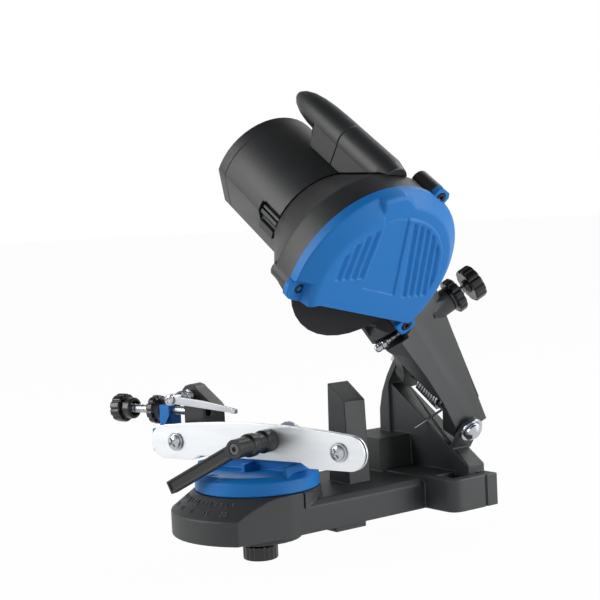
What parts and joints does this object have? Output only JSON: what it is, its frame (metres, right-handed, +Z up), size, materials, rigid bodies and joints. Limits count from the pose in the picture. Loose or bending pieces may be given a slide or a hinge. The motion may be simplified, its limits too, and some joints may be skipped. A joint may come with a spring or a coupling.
{
  "type": "electric chainsaw sharpener",
  "caption": "Bench saw chain grinder: tilted motor head with guarded wheel on a sprung hinge over a swivelling chain vise.",
  "frame": {"origin": "middle of the underside of the rear foot, on the bench surface", "axes": "+Z up from the bench, -Y towards the turntable in front, +X towards the wheel side of the head"},
  "size_m": [0.2381, 0.2202, 0.3057],
  "materials": {
    "black_casting": "satin black moulding with a fine grain",
    "black_plastic": "satin black moulded plastic",
    "knob_plastic": "semi-gloss black plastic",
    "blue_plastic": "satin blue moulded plastic",
    "polished_steel": "bright ground steel",
    "zinc_steel": "zinc plated",
    "spring_steel": "drawn wire",
    "brass": "turned brass",
    "copper": "turned copper",
    "laminated_steel": "stacked steel sheets",
    "magnet_ceramic": "ground ferrite",
    "grinding_stone": "coarse bonded abrasive"
  },
  "bodies": {
    "base": {"base_frame": "black_casting", "swivel_washer": "zinc_steel", "hinge_bolt": "polished_steel", "hinge_washer": "black_casting", "hinge_nut": "zinc_steel", "return_spring": "spring_steel", "spring_sleeve": "black_plastic"},
    "vise": {"turntable": "blue_plastic", "swivel_stud": "zinc_steel", "rear_rail_plate": "polished_steel", "rail_screw_left": "zinc_steel", "rail_screw_right": "zinc_steel", "rail_nut_left": "zinc_steel", "rail_nut_right": "zinc_steel", "clamp_bolt": "zinc_steel", "clamp_washer": "zinc_steel"},
    "swivel_knob": {"swivel_lock_knob": "knob_plastic"},
    "front_jaw": {"front_rail_plate": "polished_steel"},
    "lever": {"clamp_lever": "knob_plastic", "lever_screw": "zinc_steel"},
    "chain_stop": {"stop_bracket": "black_plastic", "pawl_pivot_screw": "zinc_steel", "pawl_sleeve": "zinc_steel", "pawl_spring": "spring_steel"},
    "stop_screw": {"adjuster_screw": "zinc_steel", "adjuster_knob": "knob_plastic"},
    "stop_lock": {"adjuster_lock_knob": "knob_plastic"},
    "stop_pawl": {"pawl": "zinc_steel"},
    "head": {"arm_casting": "black_casting", "depth_bush": "brass", "guard_back": "black_plastic", "guard_cover": "blue_plastic", "guard_screw_1": "zinc_steel", "guard_screw_2": "zinc_steel", "guard_screw_3": "zinc_steel", "motor_housing": "black_plastic", "rear_cap": "black_plastic", "rear_bearing": "polished_steel", "front_bearing": "polished_steel", "magnet_lower": "magnet_ceramic", "magnet_upper": "magnet_ceramic", "brush_upper": "brass", "brush_lower": "brass", "switch_bezel": "knob_plastic", "cable_gland": "knob_plastic", "handle_front": "black_plastic", "handle_rear": "black_plastic"},
    "rotor": {"grinding_wheel": "grinding_stone", "inner_flange": "zinc_steel", "outer_flange": "zinc_steel", "wheel_nut": "zinc_steel", "motor_shaft": "polished_steel", "armature": "laminated_steel", "commutator": "copper", "cooling_fan": "black_plastic"},
    "depth_rod": {"depth_screw": "zinc_steel"},
    "depth_grip": {"depth_knob": "knob_plastic"},
    "depth_lock": {"depth_lock_ring": "knob_plastic"},
    "switch": {"power_switch": "knob_plastic"}
  },
  "joints": [
    {"name": "head_swing", "type": "hinge", "parent": "base", "child": "head", "pos_m": [0.00727, 0.0145, 0.08098], "axis": [0.829, 0, -0.5592], "range_deg": [0, 27.8], "stiffness_Nm_per_rad": 1.5, "springref_deg": -91.67},
    {"name": "wheel_spin", "type": "hinge", "parent": "head", "child": "rotor", "pos_m": [0.06666, -0.0872, 0.16902], "axis": [0.829, 0, -0.5592], "continuous": true},
    {"name": "vise_swivel", "type": "hinge", "parent": "base", "child": "vise", "pos_m": [0, -0.1305, 0.03], "axis": [0, 0, 1], "range_deg": [-53.3, 16.7]},
    {"name": "swivel_knob_turn", "type": "hinge", "parent": "vise", "child": "swivel_knob", "pos_m": [0, -0.1305, -0.01], "axis": [0, 0, 1], "range_deg": [0, 180]},
    {"name": "lever_turn", "type": "hinge", "parent": "vise", "child": "lever", "pos_m": [0.01709, -0.12485, 0.06], "axis": [-0.314, 0.9494, 0], "range_deg": [0, 45]},
    {"name": "jaw_close", "type": "slide", "parent": "vise", "child": "front_jaw", "axis": [-0.314, 0.9494, 0], "range_m": [0, 0.0012]},
    {"name": "stop_travel", "type": "slide", "parent": "vise", "child": "chain_stop", "axis": [0.9494, 0.314, 0], "range_m": [0, 0.006]},
    {"name": "adjuster_turn", "type": "hinge", "parent": "chain_stop", "child": "stop_screw", "pos_m": [-0.09808, -0.15241, 0.073], "axis": [0.9494, 0.314, 0], "range_deg": [0, 2161]},
    {"name": "adjuster_lock_turn", "type": "hinge", "parent": "vise", "child": "stop_lock", "pos_m": [-0.08954, -0.14958, 0.073], "axis": [0.9494, 0.314, 0], "range_deg": [0, 180]},
    {"name": "pawl_swing", "type": "hinge", "parent": "chain_stop", "child": "stop_pawl", "pos_m": [-0.06266, -0.15122, 0.0825], "axis": [0.314, -0.9494, 0], "range_deg": [0, 10], "stiffness_Nm_per_rad": 0.004, "springref_deg": -57.3},
    {"name": "depth_travel", "type": "slide", "parent": "head", "child": "depth_rod", "axis": [0.3404, 0.7934, 0.5047], "range_m": [0, 0.006]},
    {"name": "depth_turn", "type": "hinge", "parent": "depth_rod", "child": "depth_grip", "pos_m": [0.05481, 0.01816, 0.15146], "axis": [0.3404, 0.7934, 0.5047], "range_deg": [0, 2161]},
    {"name": "depth_lock_turn", "type": "hinge", "parent": "head", "child": "depth_lock", "pos_m": [0.04936, 0.00546, 0.14339], "axis": [0.3404, 0.7934, 0.5047], "range_deg": [0, 180]},
    {"name": "switch_rock", "type": "hinge", "parent": "head", "child": "switch", "pos_m": [0.00263, -0.04693, 0.22432], "axis": [0.5426, -0.2419, 0.8044], "range_deg": [0, 10]}
  ],
  "couplings": [
    {"joint": "jaw_close", "follows": "lever_turn", "m_per_rad": 0.0015264},
    {"joint": "adjuster_turn", "follows": "stop_travel", "rad_per_m": 6283.2},
    {"joint": "depth_turn", "follows": "depth_travel", "rad_per_m": 6283.2}
  ]
}
